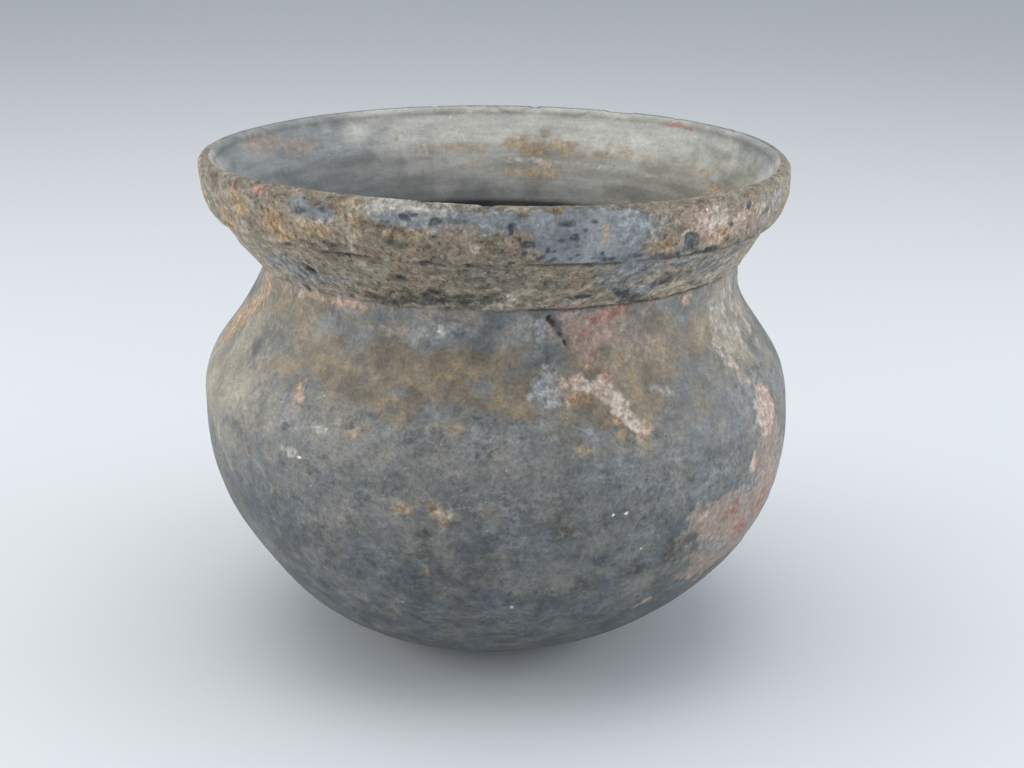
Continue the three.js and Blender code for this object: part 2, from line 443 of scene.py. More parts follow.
# Wide stains with soft edges
OUTER_STAINS = {
    # Brown film on the shoulder
    "film": mark(
        (-14, 107, 84, 20), (24, 106, 44, 26), (40, 115, 26, 14), (-44, 116, 34, 14),
        (130, 106, 110, 26), (-120, 98, 70, 28),
        soft=5, ragged=5,
    ),
    # Bluish grey clay
    "slate": mark(
        (-6, 118.6, 42, 7.4), (11, 105, 7, 10), (10.5, 117, 6, 8), (-1.5, 104, 6, 4),
        (-18, 101.6, 5, 3), (-34, 115.6, 12, 2.4, 8), (-178, 116, 50, 9),
        soft=2, ragged=3,
    ),
    # Dust burnt into the belly
    "dust": mark(
        (-6, 84, 60, 11), (-19, 67, 42, 14, -12), (-40, 76, 24, 10), (24, 66, 16, 6, 20),
        (4, 52, 20, 6), (-30, 44, 16, 8, -20), (22, 42, 14, 7, 20), (165, 70, 70, 16),
        (-110, 72, 40, 12),
        soft=6, ragged=7,
    ),
    # Light weathered clay, and painted sheen towards the sides
    "ash_and_sheen": mark(
        (-72, 98, 66, 46), (-60, 133, 44, 18), (-74, 148, 50, 20), (72, 147, 44, 20),
        (42, 149, 26, 12), (54, 130, 56, 14), (68, 110, 34, 30), (50, 135.5, 24, 5),
        (150, 118, 60, 16), (-150, 60, 50, 30),
        soft=14, ragged=9,
    ),
}

# Marks and stains on the inside
INNER_MARKS = {
    "ochre": mark(
        (168, 143.2, 36, 3.4), (154, 141.4, 14, 2.2), (190, 142, 15, 1.8), (187, 137, 5, 1.8),
        (147, 142.6, 10, 2), (116, 137, 12, 4), (122, 141, 9, 2), (172, 134, 16, 2),
        (60, 140, 30, 3), (-60, 137, 20, 3),
        soft=1.8, ragged=2,
    ),
    "rosy": mark((246, 151.5, 26, 7), (236, 148, 14, 5), soft=1.6, ragged=2),
    "red": mark((136, 153.7, 9, 1.6), (131, 153.2, 4, 1.4), soft=0.7, ragged=0.8),
    "grit": mark((187, 151, 1.1, 0.9), (192, 152, 1.3, 1), soft=0.8, ragged=0.1),
    # The first is a painted highlight along the step of the inside; the others are chalky bits
    "pale": mark((160, 137.2, 34, 1, 1), (200, 141.6, 4, 4), (206, 145, 3, 6), soft=1, ragged=0.5),
    "film": mark(
        (128, 135, 80, 14), (165, 137, 50, 4), (108, 141, 30, 14), (20, 135, 80, 12),
        soft=7, ragged=5,
    ),
    # Bluish clay, darker in places as painted shade, most of all on the inner left wall
    "slate": mark(
        (-114, 140, 90, 60), (-150, 130, 70, 14), (-20, 140, 90, 60), (104, 152, 30, 8),
        soft=16, ragged=8,
    ),
}

MASKS = ("inside", "crust", "seam_and_ledge_shadow", *OUTER_MARKS, *OUTER_STAINS)

# How square the patches are, where 2 is an ellipse, the smallest ring that they are laid on, the
# distance that stands for no patch nearby, and how much of its smaller side an edge strays at most
PATCH_FULLNESS = 2.6
SMALLEST_RING = 30
FAR_AWAY = 1000.0
LARGEST_STRAY = 0.6

# How far apart the places of two seeds are
SEED_SHIFT = 17.3


class Skin(NamedTuple):
    """Every point of a piece before it is displaced: bearing, height, side and place."""

    bearing: np.ndarray
    height: np.ndarray
    side: np.ndarray
    place: np.ndarray


def cloud(skin, size, seed, octaves=4, flat=1):
    """Soft random hills, size millimetres wide and flat times as long along the ring."""
    spread = skin.place / (size * flat, size * flat, size) + seed * SEED_SHIFT
    values = (noise.fractal(place, 1.0, 2.0, octaves) for place in spread.tolist())
    return np.fromiter(values, float, len(spread))


def turned_from(skin, bearing):
    """How many degrees each point lies to the right of a bearing, the short way round."""
    return (skin.bearing - bearing + 180) % 360 - 180


def reach(skin, patch):
    """How far each point lies outside the patch's edge, below 0 within it."""
    ring = np.maximum(outer_radius(patch.height), SMALLEST_RING)
    along = np.radians(turned_from(skin, patch.bearing)) * ring
    up = skin.height - patch.height
    tilt = math.radians(patch.tilt)
    u = along * math.cos(tilt) + up * math.sin(tilt)
    v = up * math.cos(tilt) - along * math.sin(tilt)
    half_wide, half_tall = patch.wide / 2, patch.tall / 2
    powers = np.abs(u / half_wide) ** PATCH_FULLNESS + np.abs(v / half_tall) ** PATCH_FULLNESS
    return (powers ** (1 / PATCH_FULLNESS) - 1) * min(half_wide, half_tall)


def coverage(skin, kind, stray):
    """1 inside the patches of a mark and 0 outside, with edges that stray."""
    distance = np.full(len(skin.bearing), FAR_AWAY)
    for patch in kind.patches:
        own_stray = stray * min(kind.ragged, LARGEST_STRAY * min(patch.wide, patch.tall))
        distance = np.minimum(distance, reach(skin, patch) + own_stray)
    return 1 - smoothstep(distance, -kind.soft, kind.soft)


def crusted(skin, fine):
    """The crust starts at the crease of the neck, and ends at the lip all along the back."""
    low_edge = CREASE + 1.1 * fine
    crust = smoothstep(skin.height, low_edge - 0.8, low_edge + 0.8)
    back = smoothstep(np.abs(skin.bearing), *BACK_STARTS)
    return crust * (1 - back * smoothstep(skin.height, *BARE_LIP_STARTS))


def seams_and_ledge_shadow(skin, fine, wide):
    """Broken dark lines at the neck's crease and under the ledge, the latter partly painted shadow.
    """
    crease = np.abs(skin.height - CREASE - 0.5 * fine)
    ledge = np.abs(skin.height - LEDGE + 0.3)
    right = smoothstep(skin.bearing, *LEDGE_SHADOW_STARTS) - smoothstep(skin.bearing, *LEDGE_SHADOW_ENDS)
    lines = np.maximum(1 - crease / 0.7, (1 - ledge / 0.8) * right)
    broken = smoothstep(0.8 * fine + 1.2 * wide + 0.7 * right, 0.1, 0.6)
    return smoothstep(lines, 0, 0.7) * broken


def surface_masks(skin):
    """How much of each kind of skin there is at each point, from 0 to 1."""
    grain = cloud(skin, size=1.3, seed=3, octaves=2)
    fine = cloud(skin, size=4, seed=1)
    wide = cloud(skin, size=14, seed=2)
    crisp = 1.3 * fine + 0.5 * wide + 0.4 * grain
    soft = 1.8 * wide + 0.6 * fine
    masks = {name: np.zeros(len(skin.bearing)) for name in MASKS}
    outside = (skin.side == OUTSIDE).astype(float)
    inside = (skin.side == INSIDE).astype(float)
    for shown, table in ((outside, OUTER_MARKS | OUTER_STAINS), (inside, INNER_MARKS)):
        for name, kind in table.items():
            stray = crisp if name in OUTER_MARKS else soft
            masks[name] += shown * coverage(skin, kind, stray)
    masks["inside"] = inside
    masks["crust"] = outside * crusted(skin, fine) * (1 - masks["bare"])
    masks["seam_and_ledge_shadow"] = outside * seams_and_ledge_shadow(skin, fine, wide)
    return masks


def pressed(skin):
    """How far the hand moved the skin at each point."""
    moved = np.zeros(len(skin.bearing))
    for bearing, height, wide, tall, depth in HAND_MARKS:
        along = np.radians(turned_from(skin, bearing)) * outer_radius(height)
        moved += depth * np.exp(-((along / wide) ** 2) - ((skin.height - height) / tall) ** 2)
    return moved * (skin.side == OUTSIDE)


def filled_ledge(skin):
    """How far out the crust fills the corner under the ledge, on the left half of the front."""
    left = smoothstep(skin.bearing, *FILL_STARTS) - smoothstep(skin.bearing, *FILL_ENDS)
    near = smoothstep(skin.height, FILL_FOOT, LEDGE) ** 2 * (skin.height < FILL_TOP)
    flush = COLLAR_RADIUS + LEDGE_OVERHANG - np.hypot(*skin.place[:, :2].T)
    return left * near * flush * (skin.side == OUTSIDE)


def relief(skin, masks):
    """How far the skin stands proud of the true ring at each point."""
    grain = cloud(skin, size=1.7, seed=5, octaves=3)
    bumps = cloud(skin, size=6, seed=6)
    hills = cloud(skin, size=42, seed=7, octaves=2)
    wiped = cloud(skin, size=1.5, seed=8, octaves=2, flat=18)
    chipped = cloud(skin, size=7, seed=9, octaves=3)
    smooth = HILL_RISE * hills + BUMP_RISE * bumps + WIPE_RISE * wiped + pressed(skin)
    crust = masks["crust"] * (CRUST_BUMP_RISE * bumps + CRUST_GRAIN_RISE * grain)
    crust = crust - BARE_DEPTH * masks["bare"]
    flakes = masks["spall"] * (-FLAKE_DEPTH + FLAKE_BUMP_RISE * bumps + FLAKE_GRAIN_RISE * grain)
    flakes = flakes - PINK_DEPTH * masks["pink"]
    cracks = -CRACK_DEPTH * masks["crack"] - SEAM_DEPTH * masks["seam_and_ledge_shadow"] + CHALK_RISE * masks["pale"]
    lip = smoothstep(skin.height, *CHIPS_START) * (skin.side != JOINT)
    chips = -CHIP_DEPTH * lip * smoothstep(chipped, 0.22, 0.5)
    step = -STEP_DEPTH * masks["inside"] * smoothstep(skin.height, *STEP_STARTS) * (1 - lip)
    shown = (skin.side != JOINT) * smoothstep(skin.height, 0, 3)
    return shown * (smooth + crust + flakes + cracks + chips + step)


# Meshes

# The share of the layout that a cap takes, and the margin all round
CAP_SHARE = 0.002
LAYOUT_MARGIN = 0.004


def facing(points, sides):
    """The direction square to the outline at each of its points. The skin keeps its own
    direction up to the edge of a joint."""
    skin = sides != JOINT
    after, before = np.roll(points, -1, axis=0), np.roll(points, 1, axis=0)
    for neighbour, shift in ((after, -1), (before, 1)):
        ends = skin & ~np.roll(skin, shift)
        neighbour[ends] = points[ends]
    run = after - before
    run = run / np.hypot(*run.T)[:, None]
    return np.column_stack([run[:, 1], -run[:, 0]])


def around(turn, radius, height):
    """Places at an angle to the right of the front, a radius and a height."""
    return np.column_stack([radius * np.sin(turn), -radius * np.cos(turn), height])


def uneven(places):
    """Moves points of true rings to where the hand left them."""
    x, y, z = places.T
    angle, radius = np.arctan2(y, x), np.hypot(x, y)
    oval = 1 + OVALNESS / BODY_RADIUS * np.sin(2 * angle)
    low = np.maximum(0, 1 - z / STRAIGHT) ** LEAN_BEND
    high = np.maximum(0, (z - STRAIGHT) / (RIM - STRAIGHT)) ** LEAN_BEND
    wave = sum(rise * np.cos(lobes * angle - phase) for lobes, rise, phase in RIM_WAVES)
    x = radius * oval * np.cos(angle) + FOOT_SHIFT * low + MOUTH_SHIFT * high
    y = radius * oval * np.sin(angle)
    return np.column_stack([x, y, z + wave * smoothstep(z, NECK, LEDGE)])


def ring_faces(rows, columns, closed):
    """Four-sided faces between the rows, with each corner's own row and column."""
    last = rows if closed else rows - 1
    row, column = np.meshgrid(np.arange(last), np.arange(columns), indexing="ij")
    row, column = row.ravel(), column.ravel()
    corner_rows = np.column_stack([row, row, row + 1, row + 1])
    corner_columns = np.column_stack([column, column + 1, column + 1, column])
    points = (corner_rows % rows) * columns + corner_columns % columns
    return points, corner_rows, corner_columns


def pole_faces(row, pole, columns, upward):
    """Three-sided faces that close a row on its middle."""
    here = row * columns + np.arange(columns)
    after = row * columns + (np.arange(columns) + 1) % columns
    middle = np.full(columns, pole)
    return np.column_stack([middle, here, after] if upward else [middle, after, here])


def clay_mesh(name, place, faces, columns, poles):
    """The mesh of a ring, whose first and last rows close on the middle where there are poles."""
    rows = len(place) // columns
    every_face = faces.tolist()
    for index, row in enumerate((0, rows - 1)[: len(poles)]):
        every_face += pole_faces(row, rows * columns + index, columns, upward=index == 0).tolist()
    every_place = np.vstack([place, *((0, 0, pole) for pole in poles)])
    mesh = bpy.data.meshes.new(name)
    mesh.from_pydata((uneven(every_place) * MM).tolist(), [], every_face)
    return mesh


def linked(name, data):
    """A new object of the scene."""
    made = bpy.data.objects.new(name, data)
    bpy.context.scene.collection.objects.link(made)
    return made


def add_masks(mesh, masks, poles):
    """Gives each point its masks. The middles of the caps take the last point's."""
    for mask, values in masks.items():
        padded = np.concatenate([values, np.full(poles, values[-1])])
        attribute = mesh.attributes.new(mask, "FLOAT", "POINT")
        attribute.data.foreach_set("value", padded.astype(np.float32))


def mark_corners(mesh, sides, columns):
    """Keeps the shading crisp where the skin turns into a joint."""
    after, before = np.roll(sides, -1), np.roll(sides, 1)
    crisp = (sides != JOINT) & ((after == JOINT) | (before == JOINT))
    ends = np.zeros(len(mesh.edges) * 2, int)
    mesh.edges.foreach_get("vertices", ends)
    rows = (ends // columns).reshape(-1, 2)
    known = rows.max(axis=1) < len(sides)
    rows = np.minimum(rows, len(sides) - 1)
    sharp = known & (rows[:, 0] == rows[:, 1]) & crisp[rows[:, 0]]
    mesh.shade_smooth()
    mesh.attributes.new("sharp_edge", "BOOLEAN", "EDGE").data.foreach_set("value", sharp)


def cap_layout(columns, first):
    """The corners of a cap's faces, in a thin strip along the layout's lower or upper end."""
    column = np.arange(columns) / columns
    inner, outer = (0.0, CAP_SHARE) if first else (1.0, 1 - CAP_SHARE)
    middle = np.column_stack([column + 0.5 / columns, np.full(columns, inner)])
    here = np.column_stack([column, np.full(columns, outer)])
    after = np.column_stack([column + 1 / columns, np.full(columns, outer)])
    trio = [middle, here, after] if first else [middle, after, here]
    return np.stack(trio, axis=1).reshape(-1, 2)


def lay_out(mesh, row_share, column_share, columns, caps):
    """Spreads the faces on a square by bearing and by row."""
    corners = np.column_stack([column_share.ravel(), row_share.ravel()])
    corners = np.vstack([corners, *(cap_layout(columns, cap == 0) for cap in range(caps))])
    layer = mesh.uv_layers.new(name="OFBake")
    inset = LAYOUT_MARGIN + (1 - 2 * LAYOUT_MARGIN) * corners
    layer.data.foreach_set("uv", inset.ravel().astype(np.float32))


def clay_piece(name, outline, columns, closed=True, poles=()):
    """A ring of the pot as one closed mesh, with its masks and a layout for baked finishes."""
    points, sides = outline
    rows = len(points)
    turn = np.tile(np.radians(np.linspace(-180, 180, columns, endpoint=False)), rows)
    radius, height = np.repeat(points, columns, axis=0).T
    place = around(turn, radius, height)
    skin = Skin(np.degrees(turn), height, np.repeat(sides, columns), place)
    masks = surface_masks(skin)
    moved = np.repeat(facing(points, sides), columns, axis=0) * relief(skin, masks)[:, None]
    place = around(turn, radius + moved[:, 0] + filled_ledge(skin), height + moved[:, 1])
    faces, face_rows, face_columns = ring_faces(rows, columns, closed)
    mesh = clay_mesh(name, place, faces, columns, poles)
    add_masks(mesh, masks, len(poles))
    mark_corners(mesh, sides, columns)
    lay_out(mesh, face_rows / rows, face_columns / columns, columns, len(poles))
    return linked(name, mesh)


# Finishes

# Tones of each kind of skin, as linear red, green and blue
DARK, MIDDLE, LIGHT = 0, 1, 2
# The deep clay is partly the pot's own dark tone and partly painted shade and painted blue bounce
# light on the lower body; its darkest tone also makes dark flecks
DEEP_CLAY_AND_SHADE = ((0.047, 0.056, 0.064), (0.079, 0.093, 0.104), (0.122, 0.138, 0.149))
GREY_CLAY = ((0.092, 0.1, 0.107), (0.133, 0.142, 0.148), (0.195, 0.203, 0.203))
OLIVE_CLAY = ((0.088, 0.085, 0.071), (0.131, 0.124, 0.102), (0.186, 0.174, 0.142))
BROWN_FILM = ((0.115, 0.094, 0.064), (0.17, 0.138, 0.095), (0.237, 0.199, 0.143))
DUST = ((0.108, 0.11, 0.104), (0.154, 0.155, 0.145), (0.218, 0.216, 0.199))
# Light weathered clay, also standing for painted sheen towards the sides
ASH_AND_SHEEN = ((0.21, 0.19, 0.152), (0.275, 0.249, 0.2), (0.34, 0.31, 0.252))
BLUE_CLAY = ((0.1, 0.113, 0.126), (0.165, 0.178, 0.187), (0.26, 0.27, 0.27))
WINDOW = ((0.115, 0.126, 0.136), (0.178, 0.191, 0.202), (0.25, 0.264, 0.274))
CRUST = ((0.12, 0.096, 0.07), (0.21, 0.17, 0.124), (0.31, 0.255, 0.19))
CRUST_GREY = ((0.11, 0.101, 0.082), (0.17, 0.156, 0.124), (0.245, 0.226, 0.18))
INNER_CLAY = ((0.36, 0.36, 0.333), (0.435, 0.433, 0.4), (0.51, 0.505, 0.463))
# Bluish inner clay, also painted shade on the inner left wall
INNER_BLUE_AND_SHADE = ((0.165, 0.182, 0.193), (0.205, 0.224, 0.235), (0.25, 0.27, 0.278))
INNER_OLIVE = ((0.19, 0.182, 0.14), (0.258, 0.245, 0.192), (0.335, 0.318, 0.255))
TAN = ((0.3, 0.2, 0.13), (0.41, 0.28, 0.185), (0.52, 0.375, 0.265))
ROSE = ((0.225, 0.152, 0.12), (0.31, 0.22, 0.18), (0.41, 0.315, 0.268))
PINK = ((0.335, 0.23, 0.185), (0.415, 0.305, 0.255), (0.5, 0.395, 0.345))
OCHRE = ((0.22, 0.136, 0.062), (0.315, 0.208, 0.102), (0.415, 0.3, 0.17))
FLAKE = ((0.185, 0.138, 0.11), (0.26, 0.2, 0.162), (0.335, 0.27, 0.226))
RED = ((0.19, 0.08, 0.06), (0.285, 0.125, 0.095), (0.385, 0.2, 0.155))
CHALK = ((0.33, 0.3, 0.25), (0.42, 0.385, 0.33), (0.52, 0.49, 0.44))
# Bluish white bloom, also the painted highlights and sheen on the rim
BLOOM_AND_HIGHLIGHT = ((0.2, 0.218, 0.232), (0.275, 0.296, 0.308), (0.38, 0.4, 0.4))
SOOT = ((0.03, 0.03, 0.028), (0.062, 0.06, 0.052), (0.12, 0.112, 0.092))
SPOT = ((0.02, 0.027, 0.035), (0.038, 0.048, 0.058), (0.08, 0.092, 0.104))
# Dark of the cracks and joint lines, also used for the painted shadow under the ledge
CRACK_AND_SHADOW = (0.022, 0.018, 0.015)
GRIT = (0.66, 0.65, 0.62)


class Paint:
    """The nodes of one finish, and the noises that its tones follow."""

    def __init__(self, name):
        self.material = bpy.data.materials.new(name)
        self.material.use_nodes = True
        self.tree = self.material.node_tree
        self.shader = self.tree.nodes["Principled BSDF"]
        self.where = self.node("ShaderNodeTexCoord").outputs["Object"]
        self.height = self.node("ShaderNodeSeparateXYZ", {0: self.where}).outputs["Z"]
        self.speckle = self.grain(size=0.8, seed=11, detail=2)
        self.gritty = self.grain(size=1.8, seed=12, detail=4, rough=0.65)
        self.blotch = self.grain(size=5, seed=13, detail=6, rough=0.62, warp=0.3)
        self.cloudy = self.grain(size=13, seed=14, detail=7, warp=0.3)
        self.hue = self.grain(size=11, seed=15, detail=7, warp=0.3)
        self.wide = self.grain(size=32, seed=16, detail=3)
        self.wiped = self.grain(size=3.2, seed=17, detail=5, flat=5)
        self.streaky = self.grain(size=2.4, seed=18, detail=5, rough=0.62, warp=0.4, flat=2.2)
        self.cells = self.grain(size=3, seed=19, detail=4, rough=0.5, warp=0.4)
        self.brushed = self.grain(size=1.3, seed=20, detail=3, rough=0.5, flat=9)
        half = self.math("MULTIPLY_ADD", self.blotch, 0.5, -0.5)
        self.stir = self.math("MULTIPLY_ADD", self.gritty, 0.5, half)

    def feed(self, socket, value):
        if isinstance(value, bpy.types.NodeSocket):
            self.tree.links.new(value, socket)
        else:
            socket.default_value = value

    def node(self, kind, inputs=(), **settings):
        made = self.tree.nodes.new(kind)
        for name, value in settings.items():
            setattr(made, name, value)
        for name, value in dict(inputs).items():
            self.feed(made.inputs[name], value)
        return made

    def math(self, operation, *values):
        inputs = dict(enumerate(values))
        return self.node("ShaderNodeMath", inputs, operation=operation).outputs[0]

    def times(self, *values):
        product = values[0]
        for value in values[1:]:
            product = self.math("MULTIPLY", product, value)
        return product

    def ramp(self, value, low, high, bottom=0.0, top=1.0):
        """Goes softly from bottom to top while the value goes from low to high."""
        ends = {"Value": value, "From Min": low, "From Max": high, "To Min": bottom, "To Max": top}
        made = self.node("ShaderNodeMapRange", ends, interpolation_type="SMOOTHSTEP")
        return made.outputs["Result"]

    def rise(self, low, high, bottom=0.0, top=1.0):
        """Goes softly from bottom to top between two heights."""
        return self.ramp(self.height, low * MM, high * MM, bottom, top)

    def mask(self, name):
        return self.node("ShaderNodeAttribute", attribute_name=name).outputs["Fac"]

    def mix(self, share, below, above):
        """A colour between two others, each a socket or red, green and blue."""
        made = self.node("ShaderNodeMix", data_type="RGBA")
        ends = [(*end, 1.0) if isinstance(end, tuple) else end for end in (below, above)]
        self.feed(made.inputs["Factor"], share)
        self.feed(made.inputs[6], ends[0])
        self.feed(made.inputs[7], ends[1])
        return made.outputs[2]

    def spread(self, seed, flat=1.0):
        """Places to look noise up at, moved on for each seed and drawn out along the ring."""
        drawn = {"Vector": self.where, "Scale": (1 / flat, 1 / flat, 1), "Location": (seed, 0, 0)}
        return self.node("ShaderNodeMapping", drawn).outputs["Vector"]

    def grain(self, size, seed, detail, rough=0.6, warp=0.0, flat=1.0):
        """Cloudy noise whose spots are size millimetres wide."""
        inputs = {
            "Vector": self.spread(seed, flat),
            "Scale": 1 / (size * MM),
            "Detail": detail,
            "Roughness": rough,
            "Distortion": warp,
        }
        return self.node("ShaderNodeTexNoise", inputs).outputs["Fac"]

    def web(self, pattern, width):
        """A net of thin lines where a noise crosses its middle."""
        away = self.math("ABSOLUTE", self.math("SUBTRACT", pattern, 0.5))
        return self.ramp(away, 0, width, 1, 0)

    def specks(self, size, seed, share):
        """Scattered grains: a share of cells of size millimetres has one in its middle."""
        inputs = {"Vector": self.spread(seed), "Scale": 1 / (size * MM)}
        cells = self.node("ShaderNodeTexVoronoi", inputs)
        inside = self.ramp(cells.outputs["Distance"], 0.12, 0.22, 1.0, 0.0)
        pick = self.node("ShaderNodeSeparateColor", {0: cells.outputs["Color"]}).outputs[0]
        return self.times(inside, self.ramp(pick, 1 - share, 1 - share + 0.02))

    def edged(self, mask, amount, width):
        """A mask whose soft edge is broken up by the grain, and its inside only a little."""
        most = self.math("MULTIPLY", self.stir, amount)
        share = self.math("MULTIPLY_ADD", mask, -1.0, 1.2)
        stirred = self.times(mask, self.math("MULTIPLY_ADD", most, share, 1.0))
        return self.ramp(stirred, 0.5 - width, 0.5 + width)

    def mottle(self, tones, pattern, span=0.13):
        """Dark, middle and light tones that follow a noise."""
        dark, middle, light = tones
        lower = self.mix(self.ramp(pattern, 0.5 - span, 0.5), dark, middle)
        return self.mix(self.ramp(pattern, 0.5, 0.5 + span), lower, light)

    def dim(self, colour, factor):
        made = self.node("ShaderNodeVectorMath", {0: colour, "Scale": factor}, operation="SCALE")
        return made.outputs[0]


class Layer(NamedTuple):
    """A kind of skin that lies over the clay: how much of it covers, how far the grain breaks up
    its edge, its tones, and how wide the edge is."""

    mask: str
    cover: float
    stir: float
    tones: tuple
    width: float = 0.5


BODY_LAYERS = (
    Layer("ash_and_sheen", 0.9, 3, ASH_AND_SHEEN),
    Layer("dust", 0.6, 6, DUST),
    Layer("film", 0.9, 3, BROWN_FILM),
    Layer("slate", 0.75, 4, BLUE_CLAY, 0.45),
    Layer("bare", 1.0, 3, WINDOW, 0.45),
)
INSIDE_LAYERS = (
    Layer("slate", 0.9, 1.5, INNER_BLUE_AND_SHADE),
    Layer("film", 0.7, 2, INNER_OLIVE),
)
FLAKE_LAYERS = (
    Layer("spall", 0.85, 4, FLAKE),
    Layer("rosy", 0.5, 5, ROSE),
)
TOP_LAYERS = (
    Layer("worn", 0.75, 5, BLUE_CLAY),
    Layer("bloom_and_highlight", 0.5, 6, BLOOM_AND_HIGHLIGHT),
    Layer("red", 0.7, 5, RED),
    Layer("ochre", 0.6, 5, OCHRE),
    Layer("tan", 0.65, 5, TAN),
    Layer("pink", 0.85, 4, PINK, 0.45),
    Layer("soot", 0.85, 5, SOOT),
    Layer("pale", 0.6, 6, CHALK),
    Layer("spot", 0.95, 5, SPOT, 0.4),
)

# How much of each of these shows at most
NET_SHARE = 0.8
DARK_FLECK_SHARE = 0.75
WARM_FLECK_SHARE = 0.5
GOLDEN_SHARE = 0.4
CRUST_ASH_AND_SHEEN_SHARE = 0.75
SEAM_AND_SHADOW_SHARE = 0.7
SPECK_SHARE = 0.3

# How far apart the dark and light tones of the bare clay and the crust lie
CLAY_SPAN = 0.155
CRUST_SPAN = 0.17

# How coarse a flake is next to the crust, how rough the crust is, and how deep its bumps are
FLAKE_COARSENESS = 0.2
CRUST_ROUGHNESS = 0.9
BUMP_DEPTH = 0.5


def lay_over(paint, colour, layers, pattern):
    """The colour with each layer laid over it where its mask says."""
    for layer in layers:
        edge = paint.edged(paint.mask(layer.mask), layer.stir, layer.width)
        tones = paint.mottle(layer.tones, pattern)
        colour = paint.mix(paint.times(edge, layer.cover), colour, tones)
    return colour


def bare_clay(paint):
    """Clay that is darker and bluer towards the ground, with olive clouds higher up."""
    # Towards the ground the clay turns to the deep tones: partly its own colour, partly painted
    # shade and painted blue bounce light
    climb = paint.math("MULTIPLY_ADD", paint.wide, 0.6, paint.rise(45, 95, -0.3, 0.7))
    bluish = paint.mottle(DEEP_CLAY_AND_SHADE, paint.blotch, CLAY_SPAN)
    colour = paint.mix(climb, bluish, paint.mottle(GREY_CLAY, paint.blotch, CLAY_SPAN))
    olive = paint.times(paint.ramp(paint.hue, 0.44, 0.6), paint.rise(30, 90, 0.5, 0.75))
    colour = paint.mix(olive, colour, paint.mottle(OLIVE_CLAY, paint.blotch, CLAY_SPAN))
    return paint.dim(colour, paint.ramp(paint.cloudy, 0.34, 0.66, 0.82, 1.16))


def flecked(paint, colour):
    """The colour with a pale net under the shoulder, dark and warm flecks and brush marks."""
    gritty, cells = paint.gritty, paint.cells
    lively = paint.ramp(paint.wide, 0.4, 0.58, 0.25, 1)
    zone = paint.times(paint.rise(55, 78), paint.rise(92, 100, 1, 0))
    net = paint.times(paint.web(cells, width=0.08), zone, paint.ramp(gritty, 0.38, 0.56), lively)
    colour = paint.mix(paint.times(net, NET_SHARE), colour, GREY_CLAY[LIGHT])
    dark = paint.times(paint.ramp(gritty, 0.45, 0.36), paint.ramp(cells, 0.5, 0.42), lively)
    colour = paint.mix(paint.times(dark, DARK_FLECK_SHARE), colour, DEEP_CLAY_AND_SHADE[DARK])
    warm = paint.times(paint.ramp(gritty, 0.53, 0.62), paint.ramp(cells, 0.52, 0.6), lively)
    colour = paint.mix(paint.times(warm, WARM_FLECK_SHARE), colour, BROWN_FILM[MIDDLE])
    return paint.dim(colour, paint.ramp(paint.brushed, 0.3, 0.7, 0.92, 1.08))


def burnished_clay(paint):
    """The skin of the bowl, the shoulder and the neck, with its stains and golden flecks."""
    colour = lay_over(paint, flecked(paint, bare_clay(paint)), BODY_LAYERS, paint.hue)
    where = paint.times(paint.ramp(paint.cells, 0.5, 0.6), paint.ramp(paint.hue, 0.42, 0.56))
    golden = paint.times(paint.mask("film"), where, GOLDEN_SHARE)
    return paint.mix(golden, colour, OCHRE[MIDDLE])


def gritty_crust(paint):
    """The crust on the collar and the rim: brown and grey, reddish, yellow, and pale with
    weathering and painted sheen.
    """
    grey = paint.mottle(CRUST_GREY, paint.streaky)
    reddish = paint.times(paint.ramp(paint.cloudy, 0.5, 0.62), paint.rise(138, 146, 0.1, 0.45))
    golden = paint.times(
        paint.ramp(paint.cells, 0.54, 0.64),
        paint.ramp(paint.blotch, 0.46, 0.6, 0, 0.4),
    )
    colour = paint.mottle(CRUST, paint.streaky, CRUST_SPAN)
    colour = paint.mix(paint.ramp(paint.hue, 0.46, 0.58, 0, 0.85), colour, grey)
    colour = paint.mix(reddish, colour, ROSE[DARK])
    colour = paint.mix(golden, colour, OCHRE[MIDDLE])
    colour = paint.dim(colour, paint.ramp(paint.cloudy, 0.35, 0.65, 0.84, 1.16))
    # Weathered crust, partly painted sheen on the sides of the rim
    ashy_sheen = paint.mottle(ASH_AND_SHEEN, paint.streaky)
    colour = paint.mix(paint.times(paint.mask("ash_and_sheen"), CRUST_ASH_AND_SHEEN_SHARE), colour, ashy_sheen)
    colour = paint.mix(paint.ramp(paint.gritty, 0.43, 0.34, 0, 0.6), colour, SOOT[DARK])
    colour = paint.mix(paint.ramp(paint.gritty, 0.57, 0.66, 0, 0.45), colour, CHALK[DARK])
    # Painted light on the collar, which faces down, and painted shade on the top of the lip
    shade = paint.times(paint.rise(136, 142, 1.18, 1), paint.rise(152.5, 154.5, 1, 0.8))
    return paint.dim(colour, shade)


def wiped_inside(paint):
    """The wiped inside, with painted shade below a soft step, in its depth and at the lip."""
    colour = lay_over(paint, paint.mottle(INNER_CLAY, paint.wiped), INSIDE_LAYERS, paint.wiped)
    # Painted shade below the step, deeper down and on the top of the lip
    step = paint.rise(139, 144, 0.62, 1)
    depth = paint.rise(118, 140, 0.22, 1)
    lip = paint.rise(150, 154, 1, 0.75)
    return paint.dim(colour, paint.times(step, depth, lip))


